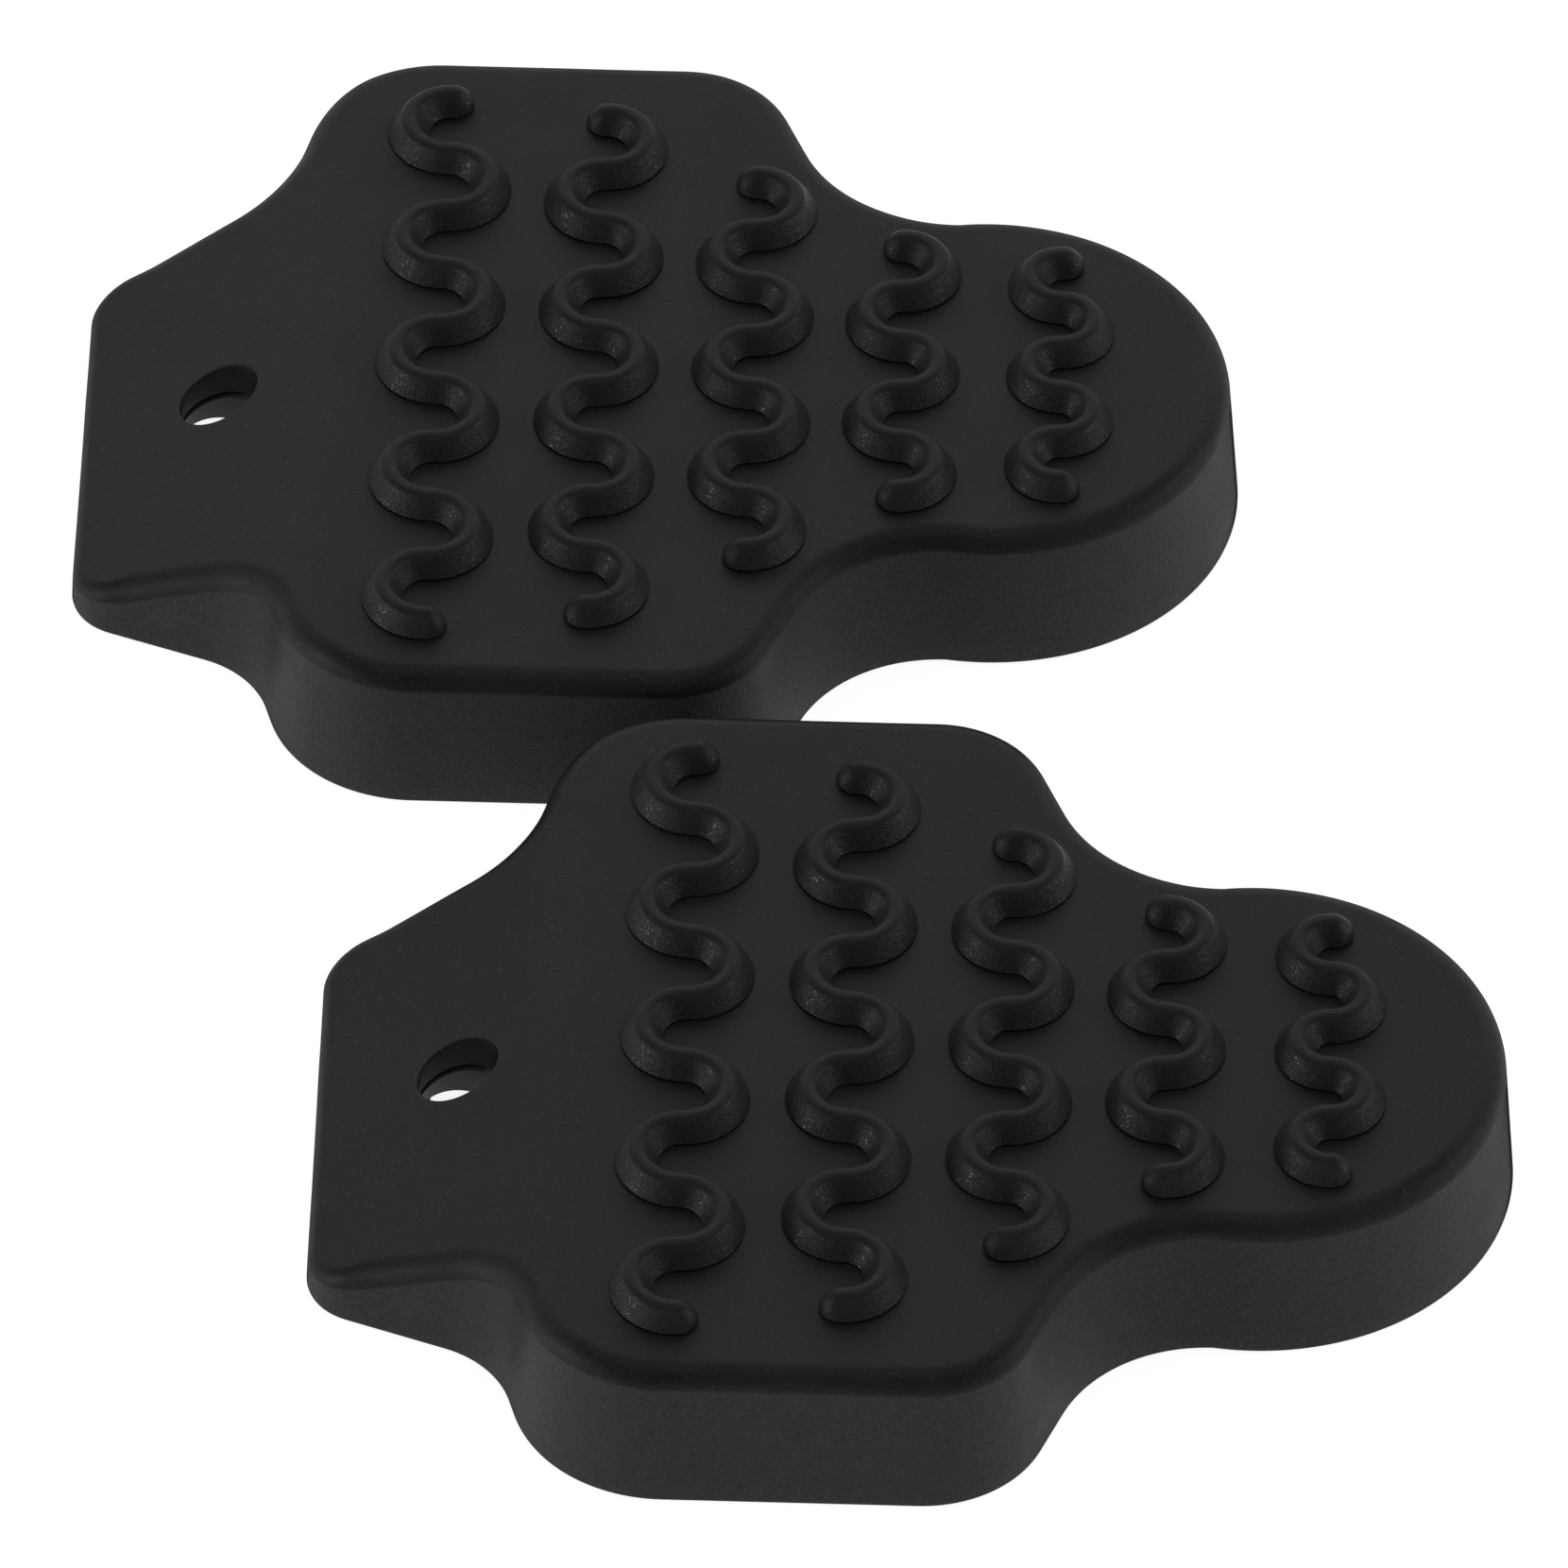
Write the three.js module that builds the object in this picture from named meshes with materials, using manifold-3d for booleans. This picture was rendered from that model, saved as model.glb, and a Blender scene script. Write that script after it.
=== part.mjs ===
// A pair of moulded rubber walking covers for three-bolt road-cycling shoe cleats.
// Millimetres, +Z up. Both covers lie tread upwards on their open rims.
// In one cover's own frame X runs from the tail tab to the nose, Y across the wings and
// Z up from the rim; its origin lies under the middle of the first tread rib.
import * as THREE from 'three';
import { mergeVertices } from 'three/addons/utils/BufferGeometryUtils.js';
import Module from 'manifold-3d';

const wasm = await Module();
wasm.setup();

// ---- Driving dimensions -----------------------------------------------------------

const PLATEAU_HEIGHT = 11.7;
const EDGE_RADIUS = 1.7;
const WALL_DRAFT = 0.08;

// The outline at the top of the side wall, one half, from the tail to the nose
const TAIL_END = -26.5;
const TAIL_HALF_WIDTH = 16.7;
const TAIL_FLARE_ANGLE = 0.311;
const TAIL_CORNER_RADIUS = 4.2;
const SHOULDER_X = -12.3;
const SHOULDER_ANGLE = 1.274;
const SHOULDER_RADIUS = 8.0;
const WING_HALF_WIDTH = 34.0;
const WING_REAR_RADIUS = 10.4;
const WING_FRONT_X = 23.05;
const WING_FRONT_ANGLE = 1.176;
const WING_FRONT_RADIUS = 8.5;
const NECK_HALF_WIDTH = 17.6;
const NECK_RADIUS = 12.1;
const NOSE_CENTRE_X = 40.8;
const NOSE_RADIUS = 17.8;

// The tail tab: its top slopes down to a thin end, and a cord hole goes through it
const TAB_TOP = { from: -6, to: -12, slope: 0.52 };
const TAB_CEILING = { from: -4.5, to: -9.9, slope: 0.34 };
const HOLE_X = -16.3;
const HOLE_RADIUS = 3.0;

// The rubber shell, and the firmer liner that grips the cleat, a little clear of it
const SKIN = 3.2;
const SHELL_WALL = 2.2;
const SHELL_TAIL_WALL = 4.8;
const LINER_GAP = 0.3;
const LINER_WALL = 1.3;
const LINER_TAIL_WALL = 1.8;
const LINER_RIM_HEIGHT = 0.5;
const LINER_CORNER_RADIUS = 6.5;
const POCKET_HEIGHT = 6.5;
const POCKET_TAIL_HEIGHT = 2.9;
const POCKET_SLOPE = { low: -13, high: -6 };

// The retaining lips around the mouth of the liner
const LIP_TOP = 1.6;
const MOUTH = { tail: -18.4, nose: 52.8, halfWidth: 29.4 };

// Wavy tread ribs: a chain of half circles across the cover, alternately to each side
const RIB_HEIGHT = 1.75;
const RIB_FOOT_WIDTH = 3.2;
const RIB_CREST_WIDTH = 0.95;
const RIBS = [
  { x: 0, radius: 3.16, bulges: 9, middleSide: -1 },
  { x: 11.74, radius: 2.98, bulges: 9, middleSide: 1 },
  { x: 23.15, radius: 2.9, bulges: 7, middleSide: -1 },
  { x: 34.22, radius: 2.72, bulges: 5, middleSide: 1 },
  { x: 45.94, radius: 2.43, bulges: 5, middleSide: -1 },
];

// Where the second cover lies from the first, almost touching it
const REAR_SHIFT_X = -20.3;
const REAR_SHIFT_Y = 70.4;

// How finely round things are faceted
const CORNER_STEPS = 5;
const NOSE_STEPS = 12;
const RIB_STEPS_PER_BULGE = 6;
const RIB_END_SIDES = 10;
const HOLE_SIDES = 24;

// Clearance past a face that a cutting solid runs to
const OVERCUT = 1;

// ---- Solids -----------------------------------------------------------------------

/** A closed three.js geometry as a manifold-3d solid. */
function toSolid(geometry) {
  const bare = geometry.index ? geometry.clone() : geometry;
  bare.deleteAttribute('normal');
  bare.deleteAttribute('uv');
  const merged = mergeVertices(bare, 1e-4);
  return new wasm.Manifold(new wasm.Mesh({
    numProp: 3,
    vertProperties: new Float32Array(merged.attributes.position.array),
    triVerts: new Uint32Array(merged.index.array),
  }));
}

/** A manifold-3d solid as a three.js geometry. */
function toGeometry(solid) {
  const mesh = solid.getMesh();
  const geometry = new THREE.BufferGeometry();
  geometry.setAttribute('position', new THREE.BufferAttribute(mesh.vertProperties, 3));
  geometry.setIndex(new THREE.BufferAttribute(mesh.triVerts, 1));
  geometry.computeVertexNormals();
  return geometry;
}

// ---- The outline of a cover -------------------------------------------------------

/** A straight edge through a point, in the direction of an angle from +X. */
function edge(x, y, angle) {
  return { point: new THREE.Vector2(x, y), along: new THREE.Vector2(Math.cos(angle), Math.sin(angle)) };
}

/** The point where two straight edges cross. */
function crossing(a, b) {
  const gap = b.point.clone().sub(a.point);
  const reach = gap.cross(b.along) / a.along.cross(b.along);
  return a.point.clone().addScaledVector(a.along, reach);
}

/** Points and outward normals along the arc that rounds the corner of two edges. */
function roundedCorner(before, after, radius) {
  const corner = crossing(before, after);
  const turn = Math.asin(before.along.cross(after.along));
  const side = Math.sign(turn);
  const setback = radius * Math.tan(Math.abs(turn) / 2);
  const start = corner.clone().addScaledVector(before.along, -setback);
  const toCentre = new THREE.Vector2(-before.along.y, before.along.x).multiplyScalar(side);
  const centre = start.clone().addScaledVector(toCentre, radius);
  const stations = [];
  for (let i = 0; i <= CORNER_STEPS; i += 1) {
    const spoke = start.clone().rotateAround(centre, (turn * i) / CORNER_STEPS).sub(centre);
    const normal = spoke.clone().normalize().multiplyScalar(-side);
    stations.push({ point: centre.clone().add(spoke), normal });
  }
  return stations;
}

/**
 * One half of a cover's outline, from the tail to the tip of the nose on the +Y side.
 * The tail is set back to tailEnd, with corners of tailRadius.
 */
function halfOutline(tailEnd, tailRadius) {
  const shoulderY = TAIL_HALF_WIDTH + (SHOULDER_X - TAIL_END) * Math.tan(TAIL_FLARE_ANGLE);
  const edges = [
    edge(tailEnd, 0, Math.PI / 2),
    edge(SHOULDER_X, shoulderY, TAIL_FLARE_ANGLE),
    edge(SHOULDER_X, shoulderY, SHOULDER_ANGLE),
    edge(0, WING_HALF_WIDTH, 0),
    edge(WING_FRONT_X, WING_HALF_WIDTH, -WING_FRONT_ANGLE),
    edge(0, NECK_HALF_WIDTH, 0),
  ];
  const radii = [tailRadius, SHOULDER_RADIUS, WING_REAR_RADIUS, WING_FRONT_RADIUS, NECK_RADIUS];
  const stations = radii.flatMap((radius, i) => roundedCorner(edges[i], edges[i + 1], radius));
  const noseStart = Math.PI - Math.asin(NECK_HALF_WIDTH / NOSE_RADIUS);
  for (let i = 0; i <= NOSE_STEPS; i += 1) {
    const angle = noseStart * (1 - i / NOSE_STEPS);
    const normal = new THREE.Vector2(Math.cos(angle), Math.sin(angle));
    const point = normal.clone().multiplyScalar(NOSE_RADIUS);
    point.x += NOSE_CENTRE_X;
    stations.push({ point, normal });
  }
  return stations;
}

/**
 * A closed ring round an outline: the half outline, then its mirror image back to the tail.
 * inset and height are numbers, or functions of the X of a point.
 */
function ring(half, inset, height) {
  const at = (value, x) => (typeof value === 'function' ? value(x) : value);
  const upper = half.map(({ point, normal }) => {
    const flat = point.clone().addScaledVector(normal, -at(inset, point.x));
    return new THREE.Vector3(flat.x, flat.y, at(height, flat.x));
  });
  upper[upper.length - 1].y = 0;
  const lower = upper.slice(0, -1).reverse().map((p) => new THREE.Vector3(p.x, -p.y, p.z));
  return [...upper, ...lower];
}

/** A closed solid through a stack of matching rings, capped by strips that run across Y. */
function loft(rings) {
  const count = rings[0].length;
  const tip = (count - 1) / 2;
  const triangles = [];
  for (let level = 0; level + 1 < rings.length; level += 1) {
    for (let i = 0; i < count; i += 1) {
      const low = level * count;
      const high = low + count;
      const next = (i + 1) % count;
      triangles.push(low + i, high + i, low + next, low + next, high + i, high + next);
    }
  }
  const top = (rings.length - 1) * count;
  for (let i = 0; i < tip; i += 1) {
    const mirror = count - 1 - i;
    triangles.push(mirror, i, mirror - 1);
    triangles.push(top + mirror, top + mirror - 1, top + i);
    if (i + 1 < tip) {
      triangles.push(i, i + 1, mirror - 1);
      triangles.push(top + i, top + mirror - 1, top + i + 1);
    }
  }
  const geometry = new THREE.BufferGeometry();
  const corners = rings.flat().flatMap((p) => [p.x, p.y, p.z]);
  geometry.setAttribute('position', new THREE.Float32BufferAttribute(corners, 3));
  geometry.setIndex(triangles);
  return toSolid(geometry);
}

// ---- Heights along the cover ------------------------------------------------------

/** How far a surface has sunk at x, where it bends gently into a straight slope. */
function sink(x, { from, to, slope }) {
  const bend = from - to;
  const past = Math.max(from - x, 0);
  return past < bend ? (slope * past * past) / (2 * bend) : slope * (past - bend / 2);
}

const topHeight = (x) => PLATEAU_HEIGHT - sink(x, TAB_TOP);
const shellCeiling = (x) => PLATEAU_HEIGHT - SKIN - sink(x, TAB_CEILING);
const linerTop = (x) => shellCeiling(x) - LINER_GAP;
const pocketCeiling = (x) => THREE.MathUtils.mapLinear(
  THREE.MathUtils.clamp(x, POCKET_SLOPE.low, POCKET_SLOPE.high),
  POCKET_SLOPE.low,
  POCKET_SLOPE.high,
  POCKET_TAIL_HEIGHT,
  POCKET_HEIGHT,
);

// ---- The pieces -------------------------------------------------------------------

/** The cord hole as a cutting solid. */
function holeCutter() {
  const drill = new THREE.CylinderGeometry(HOLE_RADIUS, HOLE_RADIUS, 4 * PLATEAU_HEIGHT, HOLE_SIDES);
  drill.rotateX(Math.PI / 2);
  drill.translate(HOLE_X, 0, 0);
  return toSolid(drill);
}

/** The soft outer shell: drafted walls, rounded top edge, sloping tail tab, open below. */
function shellGeometry() {
  const outer = halfOutline(TAIL_END, TAIL_CORNER_RADIUS);
  const wallTop = (x) => topHeight(x) - EDGE_RADIUS;
  const flare = (x) => -WALL_DRAFT * wallTop(x);
  const rings = [ring(outer, flare, 0)];
  for (const turn of [0, 1 / 3, 2 / 3, 1]) {
    const angle = (turn * Math.PI) / 2;
    const inset = EDGE_RADIUS * (1 - Math.cos(angle));
    rings.push(ring(outer, inset, (x) => wallTop(x) + EDGE_RADIUS * Math.sin(angle)));
  }
  const inner = halfOutline(TAIL_END + SHELL_TAIL_WALL - SHELL_WALL, LINER_CORNER_RADIUS);
  const hollow = loft([ring(inner, SHELL_WALL, -OVERCUT), ring(inner, SHELL_WALL, shellCeiling)]);
  return toGeometry(loft(rings).subtract(hollow).subtract(holeCutter()));
}

/** The liner: a thin cup inside the shell, with lips at its mouth that hold the cleat. */
function linerGeometry() {
  const outside = halfOutline(TAIL_END + SHELL_TAIL_WALL - SHELL_WALL, LINER_CORNER_RADIUS);
  const outsideInset = SHELL_WALL + LINER_GAP;
  const cup = loft([
    ring(outside, outsideInset, LINER_RIM_HEIGHT),
    ring(outside, outsideInset, linerTop),
  ]);
  const pocketTail = TAIL_END + SHELL_TAIL_WALL - SHELL_WALL + LINER_TAIL_WALL - LINER_WALL;
  const inside = halfOutline(pocketTail, LINER_CORNER_RADIUS);
  const insideInset = outsideInset + LINER_WALL;
  const pocket = loft([ring(inside, insideInset, LIP_TOP), ring(inside, insideInset, pocketCeiling)]);
  const throat = loft([ring(inside, insideInset, -OVERCUT), ring(inside, insideInset, LIP_TOP + 0.01)]);
  const length = MOUTH.nose - MOUTH.tail;
  const frame = new THREE.BoxGeometry(length, 2 * MOUTH.halfWidth, 4 * LIP_TOP);
  frame.translate(MOUTH.tail + length / 2, 0, 0);
  const mouth = throat.intersect(toSolid(frame));
  return toGeometry(cup.subtract(pocket).subtract(mouth).subtract(holeCutter()));
}

/** A rib's centre line: half circles that swing to alternate sides as it crosses the cover. */
class WaveLine extends THREE.Curve {
  constructor({ radius, bulges, middleSide }) {
    super();
    this.radius = radius;
    this.bulges = bulges;
    this.firstSide = middleSide * ((bulges - 1) / 2 % 2 === 0 ? 1 : -1);
  }

  getPoint(t, target = new THREE.Vector3()) {
    const bulge = Math.min(Math.floor(t * this.bulges), this.bulges - 1);
    const angle = (t * this.bulges - bulge) * Math.PI;
    const side = this.firstSide * (bulge % 2 === 0 ? 1 : -1);
    const centreY = ((this.bulges - 1) / 2 - bulge) * 2 * this.radius;
    return target.set(side * this.radius * Math.sin(angle), centreY + this.radius * Math.cos(angle), 0);
  }
}

/** A tread rib of trapezoidal section with coned ends, standing on z = 0. */
function ribGeometry(rib) {
  const line = new WaveLine(rib);
  // The section's x points down and its y across the rib
  const section = new THREE.Shape([
    new THREE.Vector2(0, -RIB_FOOT_WIDTH / 2),
    new THREE.Vector2(0, RIB_FOOT_WIDTH / 2),
    new THREE.Vector2(-RIB_HEIGHT, RIB_CREST_WIDTH / 2),
    new THREE.Vector2(-RIB_HEIGHT, -RIB_CREST_WIDTH / 2),
  ]);
  const steps = rib.bulges * RIB_STEPS_PER_BULGE;
  let solid = toSolid(new THREE.ExtrudeGeometry(section, { steps, extrudePath: line }));
  for (const end of [line.getPoint(0), line.getPoint(1)]) {
    const cone = new THREE.CylinderGeometry(
      RIB_CREST_WIDTH / 2,
      RIB_FOOT_WIDTH / 2,
      RIB_HEIGHT,
      RIB_END_SIDES,
    );
    cone.rotateX(Math.PI / 2);
    cone.translate(end.x, end.y, RIB_HEIGHT / 2);
    solid = solid.add(toSolid(cone));
  }
  return toGeometry(solid);
}

// ---- The pair ---------------------------------------------------------------------

const materials = {
  shell: { color: 0x242426, roughness: 0.62, metalness: 0 },
  liner: { color: 0x303032, roughness: 0.5, metalness: 0 },
  rib: { color: 0x1f1f21, roughness: 0.55, metalness: 0 },
};

function namedMesh(name, geometry, finish) {
  const mesh = new THREE.Mesh(geometry, new THREE.MeshStandardMaterial(finish));
  mesh.name = name;
  return mesh;
}

/** One cover: shell, liner and its tread ribs, at a place on the ground. */
function cover(prefix, x, y) {
  const group = new THREE.Group();
  group.position.set(x, y, 0);
  group.add(namedMesh(`${prefix}_mat_shell`, shellGeometry(), materials.shell));
  group.add(namedMesh(`${prefix}_mat_liner`, linerGeometry(), materials.liner));
  RIBS.forEach((rib, i) => {
    const mesh = namedMesh(`${prefix}_tread_rib_${i + 1}`, ribGeometry(rib), materials.rib);
    mesh.position.set(rib.x, 0, PLATEAU_HEIGHT);
    group.add(mesh);
  });
  return group;
}

const pair = new THREE.Group();
// The origin is under the middle of the pair's own box
const tailReach = TAIL_END - WALL_DRAFT * (topHeight(TAIL_END) - EDGE_RADIUS);
const noseReach = NOSE_CENTRE_X + NOSE_RADIUS + WALL_DRAFT * (PLATEAU_HEIGHT - EDGE_RADIUS);
const frontX = -(tailReach + noseReach + REAR_SHIFT_X) / 2;
const frontY = -REAR_SHIFT_Y / 2;
pair.add(cover('front', frontX, frontY));
pair.add(cover('rear', frontX + REAR_SHIFT_X, frontY + REAR_SHIFT_Y));

export default pair;
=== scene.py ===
"""A pair of moulded rubber walking covers for road-cycling shoe cleats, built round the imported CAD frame.

Lengths in this file are millimetres, in one cover's own frame: X from the tail tab to the nose, Y across
the wings, Z up from the rim. mesh_object() turns them into metres in the row frame.
"""

import math

import bmesh
import bpy
from mathutils import Matrix, Vector, geometry, noise


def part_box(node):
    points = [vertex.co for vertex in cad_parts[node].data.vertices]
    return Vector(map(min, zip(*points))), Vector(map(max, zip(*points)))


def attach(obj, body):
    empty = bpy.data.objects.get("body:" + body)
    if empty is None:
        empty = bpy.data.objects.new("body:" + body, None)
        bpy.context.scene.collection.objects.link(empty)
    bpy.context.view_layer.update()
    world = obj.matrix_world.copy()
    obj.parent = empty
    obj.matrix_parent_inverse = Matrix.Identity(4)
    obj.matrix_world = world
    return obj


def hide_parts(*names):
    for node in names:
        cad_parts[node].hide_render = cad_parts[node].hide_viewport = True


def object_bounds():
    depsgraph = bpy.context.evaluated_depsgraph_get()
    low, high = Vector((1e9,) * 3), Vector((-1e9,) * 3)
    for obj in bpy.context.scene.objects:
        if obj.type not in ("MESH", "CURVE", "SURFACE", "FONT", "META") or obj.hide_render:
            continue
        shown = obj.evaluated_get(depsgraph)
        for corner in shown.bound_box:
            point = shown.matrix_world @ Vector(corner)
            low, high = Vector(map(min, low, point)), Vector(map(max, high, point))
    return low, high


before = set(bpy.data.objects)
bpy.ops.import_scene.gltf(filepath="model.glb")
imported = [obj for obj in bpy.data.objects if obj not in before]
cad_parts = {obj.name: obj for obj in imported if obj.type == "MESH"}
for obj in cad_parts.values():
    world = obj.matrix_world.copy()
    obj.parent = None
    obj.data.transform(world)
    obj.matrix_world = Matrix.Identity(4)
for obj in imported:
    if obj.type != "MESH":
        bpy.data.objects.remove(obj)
cad_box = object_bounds()

MM = 0.001

# ---- Driving dimensions, as in the CAD source ----

PLATEAU = 11.7
EDGE_RADIUS = 1.7
TAIL_EDGE_RADIUS = 0.7
WALL_DRAFT = 0.08
TAIL_END = -26.5
TAIL_HALF_WIDTH = 16.7
TAIL_FLARE = 0.311
TAIL_CORNER = 4.2
SHOULDER_X = -12.3
SHOULDER_ANGLE = 1.274
SHOULDER_RADIUS = 8.0
WING_HALF_WIDTH = 34.0
WING_REAR_RADIUS = 10.4
WING_FRONT_X = 23.05
WING_FRONT_ANGLE = 1.176
WING_FRONT_RADIUS = 8.5
NECK_HALF_WIDTH = 17.6
NECK_RADIUS = 12.1
NOSE_X = 40.8
NOSE_RADIUS = 17.8

TAB_TOP = {"start": -6, "end": -12, "slope": 0.52}
TAB_CEILING = {"start": -4.5, "end": -9.9, "slope": 0.34}
HOLE_X = -16.3
HOLE_RADIUS = 2.88
HOLE_EDGE = 0.12

SKIN = 3.2
SHELL_WALL = 2.2
SHELL_TAIL_WALL = 4.8
LINER_GAP = 0.3
LINER_WALL = 1.3
LINER_TAIL_WALL = 1.8
LINER_RIM = 0.5
LINER_CORNER = 6.5
POCKET_HEIGHT = 6.5
POCKET_TAIL_HEIGHT = 2.9
POCKET_LOW_X = -13
POCKET_HIGH_X = -6
LIP_TOP = 1.6
MOUTH_TAIL = -18.4
MOUTH_NOSE = 52.8
MOUTH_HALF_WIDTH = 29.4

RIB_HEIGHT = 1.75
RIB_FOOT = 3.2
RIB_CREST = 0.95
RIB_END_FULLNESS = 0.35
RIB_SINK = 0.08
RIB_SHOULDER = 0.06
RIB_COUNT = 5

RIM_EDGE = 0.25
RIM_BEVEL = 0.2
SHELL_ROOF_CORNER = 0.8
LINER_ROOF_CORNER = 0.7
POCKET_CORNER = 0.2
LIP_BEVEL = 0.3
LIP_STEP = 0.05
TOP_LANDING = 0.2
HOLE_LANDING = 0.1

# ---- Fineness ----

STATION_STEP = 0.8
ARC_STEP = 0.5
GRID_STEP = 1.6
RIB_STEPS = 22
RIB_FAN = 12
RIB_FLANK_STEPS = 5
RIB_CREST_STEPS = 8
HOLE_SIDES = 64
WALL_BANDS = 7
GRID_CLEARANCE = 0.55 * GRID_STEP
MERGE_DISTANCE = 1e-7
SHARP_ANGLE = math.radians(50)
WAVE_SEED = 1


# ---- Outline ----

def edge(x, y, angle):
    """A straight edge through a point, along an angle from +X."""
    return Vector((x, y)), Vector((math.cos(angle), math.sin(angle)))


def cross2(a, b):
    return a.x * b.y - a.y * b.x


def turned(v, angle):
    return Matrix.Rotation(angle, 2) @ v


def rounded_corner(before, after, radius):
    """(point, outward normal) stations along the arc that rounds the corner of two edges."""
    reach = cross2(after[0] - before[0], after[1]) / cross2(before[1], after[1])
    corner = before[0] + before[1] * reach
    turn = math.asin(cross2(before[1], after[1]))
    side = math.copysign(1, turn)
    start = corner - before[1] * radius * math.tan(abs(turn) / 2)
    centre = start + turned(before[1], side * math.pi / 2) * radius
    steps = max(6, round(abs(turn) * radius / ARC_STEP))
    spokes = [turned(start - centre, turn * i / steps) for i in range(steps + 1)]
    return [(centre + s, s.normalized() * -side) for s in spokes]


def half_outline(tail_end, tail_radius):
    """Stations from the middle of the tail to the tip of the nose, on the +Y side."""
    shoulder_y = TAIL_HALF_WIDTH + (SHOULDER_X - TAIL_END) * math.tan(TAIL_FLARE)
    edges = [
        edge(tail_end, 0, math.pi / 2),
        edge(SHOULDER_X, shoulder_y, TAIL_FLARE),
        edge(SHOULDER_X, shoulder_y, SHOULDER_ANGLE),
        edge(0, WING_HALF_WIDTH, 0),
        edge(WING_FRONT_X, WING_HALF_WIDTH, -WING_FRONT_ANGLE),
        edge(0, NECK_HALF_WIDTH, 0),
    ]
    radii = [tail_radius, SHOULDER_RADIUS, WING_REAR_RADIUS, WING_FRONT_RADIUS, NECK_RADIUS]
    stations = [(Vector((tail_end, 0)), Vector((-1, 0)))]
    for before, after, radius in zip(edges, edges[1:], radii):
        stations += rounded_corner(before, after, radius)
    nose_start = math.pi - math.asin(NECK_HALF_WIDTH / NOSE_RADIUS)
    steps = round(nose_start * NOSE_RADIUS / ARC_STEP)
    for i in range(steps + 1):
        angle = nose_start * (1 - i / steps)
        normal = Vector((math.cos(angle), math.sin(angle)))
        stations.append((Vector((NOSE_X, 0)) + normal * NOSE_RADIUS, normal))
    return densified(stations)


def densified(stations):
    """The same stations, with more of them on the long straight runs."""
    dense = stations[:1]
    for (p, n), (q, m) in zip(stations, stations[1:]):
        parts = max(1, round((q - p).length / STATION_STEP))
        for i in range(1, parts + 1):
            t = i / parts
            dense.append((p.lerp(q, t), n.lerp(m, t).normalized()))
    return dense


def ring(half, inset, height):
    """Points all round: the half outline, then its mirror image.

    inset and height are numbers or functions of x.
    """
    inset_at = inset if callable(inset) else lambda x: inset
    height_at = height if callable(height) else lambda x: height
    upper = []
    for point, normal in half:
        flat = point - normal * inset_at(point.x)
        upper.append(Vector((flat.x, flat.y, height_at(flat.x))))
    lower = [Vector((p.x, -p.y, p.z)) for p in reversed(upper[1:-1])]
    return upper + lower


# ---- Heights along the cover ----

def sink(x, start, end, slope):
    """How far a surface has sunk at x, where it bends gently into a straight slope."""
    bend = start - end
    past = max(start - x, 0)
    return slope * past * past / (2 * bend) if past < bend else slope * (past - bend / 2)


def top_height(x):
    return PLATEAU - sink(x, **TAB_TOP)


def edge_radius(x):
    """The radius of the top edge: tighter round the end of the tail tab."""
    t = min(max((x - TAIL_END) / TAIL_CORNER, 0), 1)
    return TAIL_EDGE_RADIUS + (EDGE_RADIUS - TAIL_EDGE_RADIUS) * t


def shell_ceiling(x):
    return PLATEAU - SKIN - sink(x, **TAB_CEILING)


def liner_top(x):
    return shell_ceiling(x) - LINER_GAP


def pocket_ceiling(x):
    t = min(max((x - POCKET_LOW_X) / (POCKET_HIGH_X - POCKET_LOW_X), 0), 1)
    t = t * t * (3 - 2 * t)
    return POCKET_TAIL_HEIGHT + (POCKET_HEIGHT - POCKET_TAIL_HEIGHT) * t


# ---- Mesh making ----

class Surface:
    """Points and faces of one piece, grown ring by ring. Rings run clockwise seen from above."""

    def __init__(self):
        self.points = []
        self.faces = []

    def add_ring(self, points):
        first = len(self.points)
        self.points += points
        return list(range(first, len(self.points)))

    def band(self, low, high):
        """Quads between two matching rings, facing outwards when low is the lower or outer one."""
        for i, a in enumerate(low):
            j = (i + 1) % len(low)
            self.faces.append((a, high[i], high[j], low[j]))

    def stack(self, rings):
        """Bands through several rings of points; returns the first and last ring."""
        placed = [self.add_ring(r) for r in rings]
        for low, high in zip(placed, placed[1:]):
            self.band(low, high)
        return placed[0], placed[-1]

    def cap(self, border, hole, height, up):
        """Fills between a border and a hole with an even net of triangles, lifted to height(x)."""
        owners = border + hole
        flat = [self.points[i].xy for i in owners]
        outline = flat[:len(border)]
        opening = flat[len(border):]
        edges = [(i, (i + 1) % len(border)) for i in range(len(border))]
        edges += [(len(border) + i, len(border) + (i + 1) % len(hole)) for i in range(len(hole))]
        for spot in inner_grid(outline, opening):
            flat.append(spot)
            owners.append(len(self.points))
            self.points.append(Vector((spot.x, spot.y, height(spot.x))))
        made = geometry.delaunay_2d_cdt(flat, edges, [], 1, MERGE_DISTANCE)
        where, triangles, origin = made[0], made[2], made[3]
        for triangle in triangles:
            middle = sum((where[i] for i in triangle), Vector((0, 0))) / 3
            if inside(opening, middle):
                continue
            face = [owners[origin[i][0]] for i in triangle]
            self.faces.append(tuple(face if up else reversed(face)))


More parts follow.
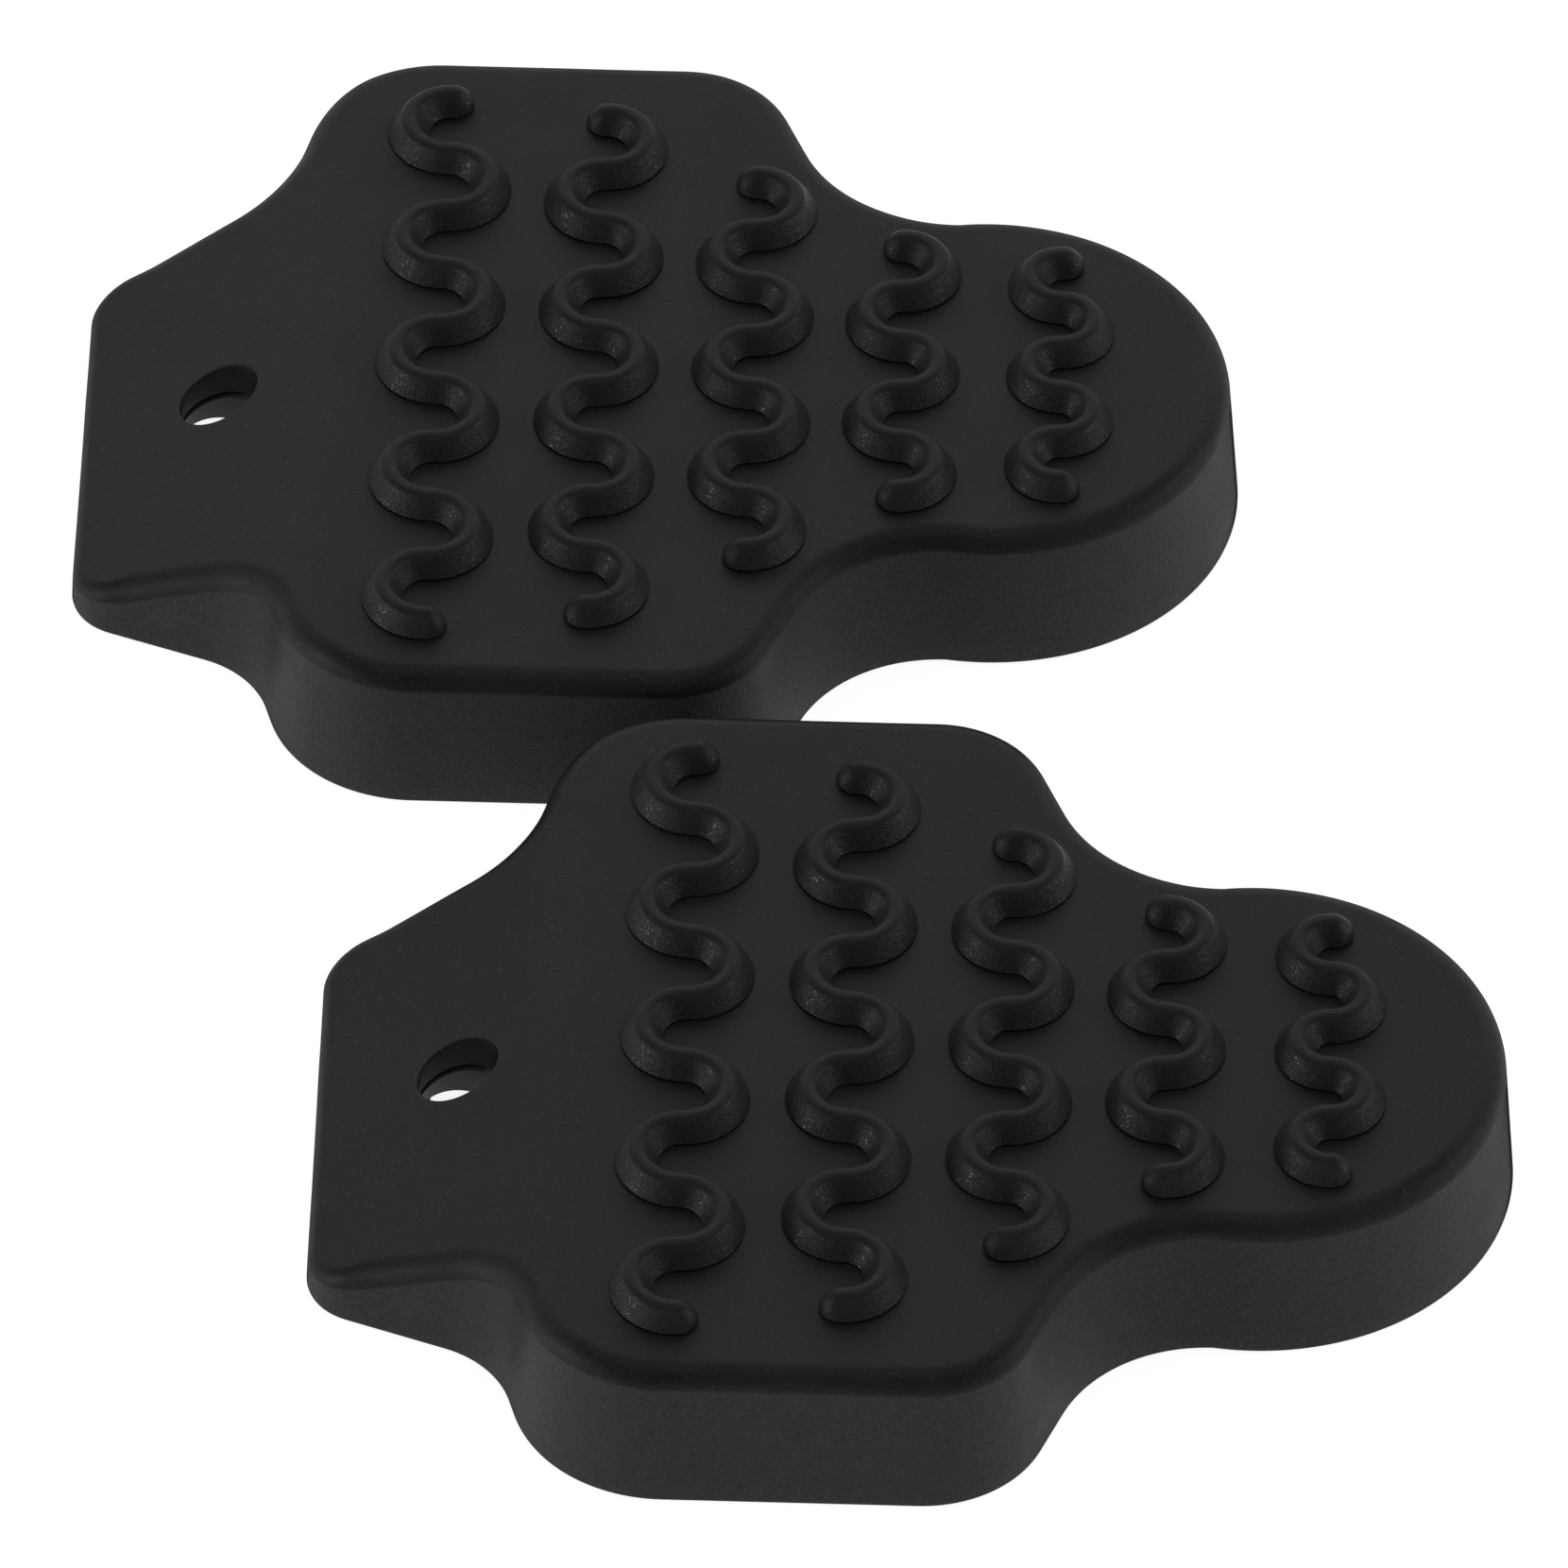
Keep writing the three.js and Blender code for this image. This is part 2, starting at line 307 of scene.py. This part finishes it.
def inner_grid(outline, opening):
    """Grid points between an outline and an opening that keep clear of the points of both."""
    low_x = min(p.x for p in outline)
    high_x = max(p.x for p in outline)
    high_y = max(p.y for p in outline)
    cells = {}
    for p in outline + opening:
        cells.setdefault((round(p.x / GRID_STEP), round(p.y / GRID_STEP)), []).append(p)
    spots = []
    columns = round((high_x - low_x) / GRID_STEP)
    rows = round(high_y / GRID_STEP)
    for column in range(columns + 1):
        for row in range(-rows, rows + 1):
            spot = Vector((low_x + column * GRID_STEP, (row + 0.5 * (column % 2)) * GRID_STEP))
            key = (round(spot.x / GRID_STEP), round(spot.y / GRID_STEP))
            around = [
                p for i in (-1, 0, 1) for j in (-1, 0, 1) for p in cells.get((key[0] + i, key[1] + j), [])
            ]
            if any((p - spot).length < GRID_CLEARANCE for p in around):
                continue
            if inside(outline, spot) and not inside(opening, spot):
                spots.append(spot)
    return spots


def inside(outline, spot):
    """True if a point lies within a closed outline."""
    odd = False
    for a, b in zip(outline, outline[1:] + outline[:1]):
        if (a.y > spot.y) != (b.y > spot.y):
            if spot.x < a.x + (spot.y - a.y) / (b.y - a.y) * (b.x - a.x):
                odd = not odd
    return odd


def circle(radius, height):
    """A ring round the cord hole, clockwise seen from above."""
    points = []
    for i in range(HOLE_SIDES):
        angle = -2 * math.pi * i / HOLE_SIDES
        x = HOLE_X + radius * math.cos(angle)
        points.append(Vector((x, radius * math.sin(angle), height(x))))
    return points


def mesh_object(name, surface, origin, material):
    """A Blender object from a surface in a cover's frame, set down at origin (metres, row frame)."""
    mesh = bpy.data.meshes.new(name)
    mesh.from_pydata([p * MM for p in surface.points], [], surface.faces)
    tidy = bmesh.new()
    tidy.from_mesh(mesh)
    bmesh.ops.remove_doubles(tidy, verts=tidy.verts, dist=MERGE_DISTANCE)
    bmesh.ops.recalc_face_normals(tidy, faces=tidy.faces)
    tidy.to_mesh(mesh)
    tidy.free()
    mesh.shade_smooth()
    mesh.set_sharp_from_angle(angle=SHARP_ANGLE)
    mesh.materials.append(material)
    piece = bpy.data.objects.new(name, mesh)
    piece.location = origin
    bpy.context.scene.collection.objects.link(piece)
    return piece


def settle(surface, depth, reach, start, rise):
    """Moves a moulding by a faint slow waviness, which starts above the rim and grows over rise."""
    noise.seed_set(WAVE_SEED)
    for p in surface.points:
        share = min(max((p.z - start) / rise, 0), 1)
        drift = noise.noise_vector(p / reach)
        p += Vector((drift.x, drift.y, drift.z)) * depth * share


# ---- The pieces ----

def quarter(start, end, steps):
    """Evenly spaced angles, in radians, given two ends in quarter turns."""
    return [math.pi / 2 * (start + (end - start) * i / steps) for i in range(steps + 1)]


def shell_surface():
    """The rubber shell: drafted wall, rounded edge, sloping tab, cord hole, and the hollow below."""
    outer = half_outline(TAIL_END, TAIL_CORNER)
    inner = half_outline(TAIL_END + SHELL_TAIL_WALL - SHELL_WALL, LINER_CORNER)

    def wall_top(x):
        return top_height(x) - edge_radius(x)

    def flare(x, level):
        return -WALL_DRAFT * (top_height(x) - EDGE_RADIUS) * (1 - level)

    def wall_height(x, level):
        return RIM_EDGE + (wall_top(x) - RIM_EDGE) * level

    # The outside: the rounded rim, the drafted wall and the rounded top edge
    rings = []
    for angle in quarter(0, 1, 3):
        lift = RIM_EDGE * (1 - math.cos(angle))
        pull = RIM_EDGE * (1 - math.sin(angle))
        rings.append(ring(outer, lambda x: flare(x, 0) + pull, lift))
    for i in range(1, WALL_BANDS):
        level = i / WALL_BANDS
        rings.append(ring(outer, lambda x: flare(x, level), lambda x: wall_height(x, level)))
    for angle in quarter(0, 1, 12):
        rings.append(ring(
            outer,
            lambda x: edge_radius(x) * (1 - math.cos(angle)),
            lambda x: wall_top(x) + edge_radius(x) * math.sin(angle),
        ))
    rings.append(ring(outer, lambda x: edge_radius(x) + TOP_LANDING, top_height))

    surface = Surface()
    foot, brow = surface.stack(rings)

    # The hole: a rounded upper edge, then straight down to the ceiling of the hollow
    bore = [circle(HOLE_RADIUS + HOLE_EDGE + HOLE_LANDING, top_height)]
    for angle in quarter(0, 1, 5):
        spread = HOLE_EDGE * (1 - math.sin(angle))
        drop = HOLE_EDGE * (1 - math.cos(angle))
        bore.append(circle(HOLE_RADIUS + spread, lambda x: top_height(x) - drop))
    bore.append(circle(HOLE_RADIUS, lambda x: (top_height(x) + shell_ceiling(x)) / 2))
    bore.append(circle(HOLE_RADIUS, shell_ceiling))
    bore_low, bore_high = surface.stack(bore[::-1])
    surface.cap(brow, bore_high, top_height, up=True)

    # The hollow, from its mouth up to the ceiling, with a rounded corner between
    walls = [ring(inner, SHELL_WALL - RIM_BEVEL, 0), ring(inner, SHELL_WALL, RIM_BEVEL)]
    for angle in quarter(0, 1, 4):
        inset = SHELL_WALL + SHELL_ROOF_CORNER * (1 - math.cos(angle))
        drop = SHELL_ROOF_CORNER * (1 - math.sin(angle))
        walls.append(ring(inner, inset, lambda x: shell_ceiling(x) - drop))
    mouth, roof = surface.stack(walls)
    surface.cap(roof, bore_low, shell_ceiling, up=False)
    surface.cap(foot, mouth, lambda x: 0, up=False)
    return surface


def liner_surface():
    """The liner: a thin cup inside the shell, with lips at its mouth that hold the cleat."""
    outer = half_outline(TAIL_END + SHELL_TAIL_WALL - SHELL_WALL, LINER_CORNER)
    pocket_tail = TAIL_END + SHELL_TAIL_WALL - SHELL_WALL + LINER_TAIL_WALL - LINER_WALL
    inner = half_outline(pocket_tail, LINER_CORNER)
    outside = SHELL_WALL + LINER_GAP
    inside_inset = outside + LINER_WALL
    surface = Surface()

    rings = [ring(outer, outside + RIM_BEVEL, LINER_RIM), ring(outer, outside, LINER_RIM + RIM_BEVEL)]
    for angle in quarter(0, 1, 4):
        inset = outside + LINER_ROOF_CORNER * (1 - math.cos(angle))
        drop = LINER_ROOF_CORNER * (1 - math.sin(angle))
        rings.append(ring(outer, inset, lambda x: liner_top(x) - drop))
    foot, brow = surface.stack(rings)

    # The hole, widened at its top, which leaves a dark undercut below the shell
    bore = [circle(HOLE_RADIUS, pocket_ceiling)]
    for widening, drop in ((0, 0.38), (0, 0.3), (0.2, 0.15), (0.6, 0)):
        bore.append(circle(HOLE_RADIUS + widening, lambda x: liner_top(x) - drop))
    bore_low, bore_high = surface.stack(bore)
    surface.cap(brow, bore_high, liner_top, up=True)

    def mouth(height, grow=0.0):
        """The pocket's own ring, narrowed to the mouth between the lips."""
        points = ring(inner, inside_inset, height)
        for p in points:
            p.y = min(max(p.y, -MOUTH_HALF_WIDTH - grow), MOUTH_HALF_WIDTH + grow)
            hole_side = HOLE_X - math.sqrt(max(HOLE_RADIUS ** 2 - p.y ** 2, 0))
            p.x = min(max(p.x, min(MOUTH_TAIL - grow, hole_side)), MOUTH_NOSE + grow)
        return points

    # The inside: the lips, the walls of the pocket above them and its ceiling
    walls = [
        mouth(LINER_RIM, RIM_BEVEL),
        mouth(LINER_RIM + RIM_BEVEL),
        mouth(LIP_TOP - LIP_BEVEL),
        mouth(LIP_TOP, LIP_BEVEL),
        ring(inner, inside_inset, LIP_TOP + LIP_STEP),
    ]
    for angle in quarter(0, 1, 3):
        inset = inside_inset + POCKET_CORNER * (1 - math.cos(angle))
        drop = POCKET_CORNER * (1 - math.sin(angle))
        walls.append(ring(inner, inset, lambda x: pocket_ceiling(x) - drop))
    lip, roof = surface.stack(walls)
    surface.cap(roof, bore_low, pocket_ceiling, up=False)
    surface.cap(foot, lip, lambda x: LINER_RIM, up=False)
    return surface


class Rib:
    """A wavy tread rib, sized from its CAD node: half circles that swing to alternate sides."""

    def __init__(self, node, middle_side):
        low, high = (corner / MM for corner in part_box(node))
        self.radius = (high.x - low.x - RIB_FOOT) / 2
        self.bulges = round((high.y - low.y - RIB_FOOT) / (2 * self.radius))
        self.first_side = middle_side * (-1) ** ((self.bulges - 1) // 2)

    def station(self, t):
        """(centre, normal to the left of travel) at t half circles from the far end."""
        bulge = min(int(t), self.bulges - 1)
        angle = (t - bulge) * math.pi
        side = self.first_side * (-1) ** bulge
        middle_y = ((self.bulges - 1) / 2 - bulge) * 2 * self.radius
        spoke = Vector((side * math.sin(angle), math.cos(angle), 0))
        return Vector((0, middle_y, 0)) + spoke * self.radius, spoke * side


def rib_profile():
    """(distance from the centre line, height) of half the section, from under the foot to the crest."""
    slope = math.atan2(RIB_HEIGHT, (RIB_FOOT - RIB_CREST) / 2)
    crest_round = (RIB_CREST / 2 - RIB_SHOULDER) / math.tan(slope / 2)
    half = RIB_FOOT / 2

    def crest(angle):
        """The rounded crest, at an angle back from its top."""
        reach = RIB_SHOULDER + crest_round * math.sin(angle)
        return reach, RIB_HEIGHT - crest_round * (1 - math.cos(angle))

    # The foot is tucked in a little, which leaves a fine dark line round it
    profile = [(0.0, -RIB_SINK), (half - 0.25, -RIB_SINK), (half - 0.2, 0.05)]
    flank_low = Vector((half - 0.04, 0.16))
    flank_high = Vector(crest(slope))
    for i in range(RIB_FLANK_STEPS):
        profile.append(tuple(flank_low.lerp(flank_high, i / RIB_FLANK_STEPS)))
    for i in range(RIB_CREST_STEPS + 1):
        profile.append(crest(slope * (1 - i / RIB_CREST_STEPS)))
    profile.append((0.0, RIB_HEIGHT))
    return profile


def rib_surface(rib):
    """The rib as rings that run round it, from under its foot up to its crest line."""
    steps = rib.bulges * RIB_STEPS
    along = [rib.station(rib.bulges * i / steps) for i in range(steps + 1)]

    def round_end(station, direction):
        """(centre, normal, fullness) round one end, which is fuller than the flanks."""
        centre, normal = station
        for i in range(1, RIB_FAN):
            swing = Matrix.Rotation(-math.pi * i / RIB_FAN, 3, "Z")
            yield centre, swing @ (normal * direction), RIB_END_FULLNESS * math.sin(math.pi * i / RIB_FAN)

    loop = [(centre, normal, 0.0) for centre, normal in along]
    loop += round_end(along[-1], 1)
    loop += [(centre, -normal, 0.0) for centre, normal in reversed(along)]
    loop += round_end(along[0], -1)

    surface = Surface()
    rings = []
    for reach, height in rib_profile():
        belly = math.sin(math.pi * min(max(height / RIB_HEIGHT, 0), 1))
        rings.append([
            centre + normal * (reach + fullness * belly) + Vector((0, 0, height))
            for centre, normal, fullness in loop
        ])
    surface.stack(rings)
    return surface


# ---- Materials ----

RUBBER_BLACK = (0.005, 0.005, 0.0052)
# A paler tone painted on the side walls: partly their matt grain, partly painted sheen
RUBBER_WALL_PAINTED_SHEEN = (0.03, 0.03, 0.0306)
RIB_BLACK = (0.01, 0.01, 0.0102)
# A lighter tone painted on the flank grain as a painted glint
RIB_PAINTED_GLINT = (0.013, 0.013, 0.0133)
LINER_BLACK = (0.009, 0.009, 0.0093)
# A paler tone close round the hole
LINER_NEAR_HOLE = (0.045, 0.045, 0.046)
HOLE_LINER_MIDDLE = (HOLE_X, 0, 4.0)
HOLE_SHELL_MIDDLE = (HOLE_X, 0, PLATEAU - SKIN)


def principled(name):
    """A material, its node tree, its Principled shader and a socket of positions in millimetres."""
    material = bpy.data.materials.new(name)
    material.use_nodes = True
    tree = material.node_tree
    shader = tree.nodes["Principled BSDF"]
    place = tree.nodes.new("ShaderNodeTexCoord").outputs["Object"]
    scale = tree.nodes.new("ShaderNodeVectorMath")
    scale.operation = "SCALE"
    scale.inputs["Scale"].default_value = 1 / MM
    tree.links.new(place, scale.inputs[0])
    return material, tree, shader, scale.outputs[0]


def noise_field(tree, place, per_mm, detail, rough=0.5):
    """A noise value with features about 1 / per_mm millimetres across; rough weighs the finer ones."""
    node = tree.nodes.new("ShaderNodeTexNoise")
    node.inputs["Scale"].default_value = per_mm
    node.inputs["Detail"].default_value = detail
    node.inputs["Roughness"].default_value = rough
    tree.links.new(place, node.inputs["Vector"])
    return node.outputs["Fac"]


def ranged(tree, value, source, target):
    """A value taken from its source range (low, high) to a target range, and held at both ends."""
    node = tree.nodes.new("ShaderNodeMapRange")
    node.inputs["From Min"].default_value = source[0]
    node.inputs["From Max"].default_value = source[1]
    node.inputs["To Min"].default_value = target[0]
    node.inputs["To Max"].default_value = target[1]
    tree.links.new(value, node.inputs["Value"])
    return node.outputs["Result"]


def two_tone(tree, value, dark, light):
    """A colour between two, chosen by value from 0 to 1."""
    node = tree.nodes.new("ShaderNodeValToRGB")
    node.color_ramp.elements[0].color = (*dark, 1)
    node.color_ramp.elements[1].color = (*light, 1)
    tree.links.new(value, node.inputs["Fac"])
    return node.outputs["Color"]


def combined(tree, operation, a, b):
    """Two values through a Math node; b may be a number."""
    node = tree.nodes.new("ShaderNodeMath")
    node.operation = operation
    tree.links.new(a, node.inputs[0])
    if isinstance(b, (int, float)):
        node.inputs[1].default_value = b
    else:
        tree.links.new(b, node.inputs[1])
    return node.outputs[0]


def distance_from(tree, place, centre):
    """How far each point is from a centre, in millimetres."""
    node = tree.nodes.new("ShaderNodeVectorMath")
    node.operation = "DISTANCE"
    node.inputs[1].default_value = centre
    tree.links.new(place, node.inputs[0])
    return node.outputs["Value"]


def upward(tree):
    """How far the surface faces up, from -1 to 1."""
    split = tree.nodes.new("ShaderNodeSeparateXYZ")
    tree.links.new(tree.nodes.new("ShaderNodeNewGeometry").outputs["Normal"], split.inputs[0])
    return split.outputs["Z"]


def dry_sheen(tree, level):
    """A specular level that fades where the surface is seen edge-on, as it does on dusty rubber."""
    facing = tree.nodes.new("ShaderNodeLayerWeight").outputs["Facing"]
    return combined(tree, "MULTIPLY", ranged(tree, facing, (0.55, 0.9), (1.0, 0.0)), level)


def bumped(tree, shader, height, strength, distance_mm):
    """Roughens the shader's normals by a height value."""
    node = tree.nodes.new("ShaderNodeBump")
    node.inputs["Strength"].default_value = strength
    node.inputs["Distance"].default_value = distance_mm * MM
    tree.links.new(height, node.inputs["Height"])
    tree.links.new(node.outputs["Normal"], shader.inputs["Normal"])


def shell_rubber():
    """Black rubber, smooth and dark on top; the side walls have a coarser mould grain and a paler painted
    sheen.
    """
    material, tree, shader, place = principled("shell_rubber")
    fine = noise_field(tree, place, per_mm=5.5, detail=3, rough=0.65)
    pores = noise_field(tree, place, per_mm=5.0, detail=3, rough=0.75)
    mottle = noise_field(tree, place, per_mm=0.16, detail=4, rough=0.6)
    motes = noise_field(tree, place, per_mm=3.6, detail=0)

    # Only the side walls are grained and painted paler: the bore of the hole is upright too, but stays
    # smooth
    upright = ranged(tree, upward(tree), (0.1, 0.22), (1.0, 0.0))
    from_hole = distance_from(tree, place, HOLE_SHELL_MIDDLE)
    wall = combined(tree, "MULTIPLY", upright, ranged(tree, from_hole, (5.5, 6.5), (0.0, 1.0)))

    # The relief: a fine grain all over, and much deeper pores on the walls
    grain = combined(tree, "MULTIPLY", combined(tree, "MULTIPLY", pores, wall), 3.2)
    height = combined(tree, "ADD", combined(tree, "MULTIPLY", fine, 0.6), grain)
    bumped(tree, shader, height, strength=0.6, distance_mm=0.07)

    # The colour: a cloudy bloom with fine specks, stray motes of dust, and walls painted paler as sheen
    cloud = combined(tree, "MULTIPLY", mottle, 0.5)
    speck = combined(tree, "ADD", cloud, combined(tree, "MULTIPLY", fine, 0.5))
    bloom = ranged(tree, speck, (0.38, 0.62), (0.0, 0.26))
    dust = ranged(tree, motes, (0.74, 0.8), (0.0, 0.5))
    # Painted sheen: the walls are lightened for the light they catch, patchy with their grain
    wall_grain_and_painted_sheen = combined(tree, "MULTIPLY", wall, ranged(tree, pores, (0.4, 0.6), (0.3, 1.0)))
    tone = combined(tree, "ADD", combined(tree, "ADD", wall_grain_and_painted_sheen, dust), bloom)
    tree.links.new(two_tone(tree, tone, RUBBER_BLACK, RUBBER_WALL_PAINTED_SHEEN), shader.inputs["Base Color"])

    roughness = ranged(tree, mottle, (0.3, 0.7), (0.45, 0.56))
    tree.links.new(roughness, shader.inputs["Roughness"])
    sheen = dry_sheen(tree, ranged(tree, upright, (0.0, 1.0), (0.15, 0.12)))
    tree.links.new(sheen, shader.inputs["Specular IOR Level"])
    return material


def tread_rubber():
    """The ribs' rubber: dull on the crests, with a grain that glints on the flanks and is painted lighter
    there.
    """
    material, tree, shader, place = principled("tread_rubber")
    fine = noise_field(tree, place, per_mm=6.0, detail=3, rough=0.7)
    coarse = noise_field(tree, place, per_mm=4.0, detail=3, rough=0.8)
    flank = ranged(tree, upward(tree), (0.6, 0.85), (1.0, 0.0))
    # On the flanks the grain is glossier, and its patches are also painted lighter as a painted glint
    flank_gloss_and_painted_glint = combined(tree, "MULTIPLY", ranged(tree, coarse, (0.44, 0.6), (0.25, 1.0)), flank)
    bumped(tree, shader, combined(tree, "ADD", fine, flank_gloss_and_painted_glint), strength=0.5, distance_mm=0.045)

    tree.links.new(two_tone(tree, flank_gloss_and_painted_glint, RIB_BLACK, RIB_PAINTED_GLINT), shader.inputs["Base Color"])
    roughness = ranged(tree, flank_gloss_and_painted_glint, (0.0, 1.0), (0.5, 0.25))
    tree.links.new(roughness, shader.inputs["Roughness"])
    sheen = ranged(tree, flank_gloss_and_painted_glint, (0.0, 1.0), (0.13, 0.24))
    tree.links.new(sheen, shader.inputs["Specular IOR Level"])
    return material


def liner_plastic():
    """Matt black moulded plastic with an even grain, paler close round the hole."""
    material, tree, shader, place = principled("liner_plastic")
    shader.inputs["Specular IOR Level"].default_value = 0.25
    grain = noise_field(tree, place, per_mm=3.5, detail=3, rough=0.7)
    cloud = noise_field(tree, place, per_mm=0.1, detail=2)
    bumped(tree, shader, grain, strength=0.6, distance_mm=0.05)

    from_hole = distance_from(tree, place, HOLE_LINER_MIDDLE)
    # Paler close round the hole
    near_hole = ranged(tree, from_hole, (3.6, 4.0), (0.6, 0.0))
    tone = combined(tree, "ADD", ranged(tree, cloud, (0.3, 0.7), (0.0, 0.15)), near_hole)
    tree.links.new(two_tone(tree, tone, LINER_BLACK, LINER_NEAR_HOLE), shader.inputs["Base Color"])
    roughness = ranged(tree, grain, (0.3, 0.7), (0.42, 0.56))
    tree.links.new(roughness, shader.inputs["Roughness"])
    return material


def pale_floor():
    """A white table that glows, so that it stays white right up to the covers."""
    material = bpy.data.materials.new("pale_floor")
    material.use_nodes = True
    shader = material.node_tree.nodes["Principled BSDF"]
    shader.inputs["Base Color"].default_value = (0.3, 0.3, 0.3, 1)
    shader.inputs["Roughness"].default_value = 0.9
    shader.inputs["Specular IOR Level"].default_value = 0.0
    shader.inputs["Emission Color"].default_value = (1, 1, 1, 1)
    shader.inputs["Emission Strength"].default_value = FLOOR_GLOW
    return material


# ---- The pair ----

def build_cover(side):
    """Every piece of one cover, in place over its CAD nodes."""
    body = f"{side}_cover"
    low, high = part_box(f"{side}_mat_shell")
    tail_reach = TAIL_END - WALL_DRAFT * (top_height(TAIL_END) - EDGE_RADIUS)
    origin = Vector((low.x - tail_reach * MM, (low.y + high.y) / 2, low.z))

    surface = shell_surface()
    settle(surface, depth=0.035, reach=7.0, start=0.4, rise=1.5)
    shell = mesh_object(f"{side}_shell", surface, origin, SHELL)
    add_piece(shell, body, f"{side}_mat_shell")

    liner = mesh_object(f"{side}_liner", liner_surface(), origin, LINER)
    add_piece(liner, body, f"{side}_mat_liner")

    for i in range(RIB_COUNT):
        node = f"{side}_tread_rib_{i + 1}"
        low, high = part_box(node)
        middle_side = -1 if i % 2 == 0 else 1
        rib = Rib(node, middle_side)
        centre = Vector(((low.x + high.x) / 2, (low.y + high.y) / 2, low.z))
        piece = mesh_object(f"{side}_rib_{i + 1}", rib_surface(rib), centre, TREAD)
        add_piece(piece, body, node)


def add_piece(piece, body, node):
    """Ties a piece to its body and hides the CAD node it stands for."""
    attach(piece, body)
    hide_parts(node)


# ---- Stage ----

FLOOR_GLOW = 0.9
FLOOR_REACH = 12.0
FLOOR_GAP = 0.02 * MM
WORLD_GLOW = 0.29

CAMERA_AZIMUTH = math.radians(0.78)
CAMERA_ELEVATION = math.radians(43.79)
CAMERA_ROLL = math.radians(0.92)
CAMERA_DISTANCE = 1.4358
CAMERA_LENS = 450.7
CAMERA_TARGET = Vector((-0.0001, 0.0033, 0.0))


def add_camera():
    """A view of the pair from the front, about 44 degrees up, through a long lens."""
    a, e = CAMERA_AZIMUTH, CAMERA_ELEVATION
    back = Vector((math.sin(a) * math.cos(e), -math.cos(a) * math.cos(e), math.sin(e)))
    right = Vector((math.cos(a), math.sin(a), 0))
    up = back.cross(right)
    turn = Matrix((right, up, back)).transposed().to_4x4() @ Matrix.Rotation(CAMERA_ROLL, 4, "Z")
    data = bpy.data.cameras.new("camera")
    data.lens = CAMERA_LENS
    data.sensor_width = 36
    data.clip_start = 0.01
    data.clip_end = 50
    camera = bpy.data.objects.new("camera", data)
    camera.matrix_world = Matrix.Translation(CAMERA_TARGET + back * CAMERA_DISTANCE) @ turn
    bpy.context.scene.collection.objects.link(camera)
    bpy.context.scene.camera = camera


def add_softbox(name, place, width, height, watts):
    """An oblong area light that looks at the middle of the pair and stays out of the picture."""
    data = bpy.data.lights.new(name, "AREA")
    data.shape = "RECTANGLE"
    data.size = width
    data.size_y = height
    data.energy = watts
    lamp = bpy.data.objects.new(name, data)
    lamp.location = place
    lamp.rotation_mode = "QUATERNION"
    lamp.rotation_quaternion = Vector(place).to_track_quat("Z", "Y")
    lamp.visible_camera = False
    bpy.context.scene.collection.objects.link(lamp)


def add_floor():
    """A wide plain table, a hair below the covers' rims."""
    mesh = bpy.data.meshes.new("floor")
    far = FLOOR_REACH
    mesh.from_pydata([(-far, -far, 0), (far, -far, 0), (far, far, 0), (-far, far, 0)], [], [(0, 1, 2, 3)])
    mesh.materials.append(pale_floor())
    floor = bpy.data.objects.new("floor", mesh)
    floor.location.z = cad_box[0].z - FLOOR_GAP
    bpy.context.scene.collection.objects.link(floor)


def add_world():
    """An even white glow from all round."""
    world = bpy.data.worlds.new("world")
    world.use_nodes = True
    world.node_tree.nodes["Background"].inputs["Color"].default_value = (1, 1, 1, 1)
    world.node_tree.nodes["Background"].inputs["Strength"].default_value = WORLD_GLOW
    bpy.context.scene.world = world


SHELL = shell_rubber()
TREAD = tread_rubber()
LINER = liner_plastic()

add_camera()
for cover_side in ("front", "rear"):
    build_cover(cover_side)
add_floor()
add_world()
add_softbox("back_softbox", place=(0.0, 1.5, 0.95), width=3.0, height=1.1, watts=16)
add_softbox("top_softbox", place=(0.0, -0.15, 1.5), width=0.6, height=0.6, watts=2.2)
add_softbox("left_softbox", place=(-1.2, -0.42, 0.5), width=0.8, height=0.7, watts=0.7)
add_softbox("right_softbox", place=(1.3, 0.1, 0.5), width=0.8, height=0.7, watts=5.0)
add_softbox("low_left_strip", place=(-1.3, -0.3, 0.23), width=0.35, height=0.25, watts=5.5)
bpy.context.scene.view_settings.view_transform = "Standard"
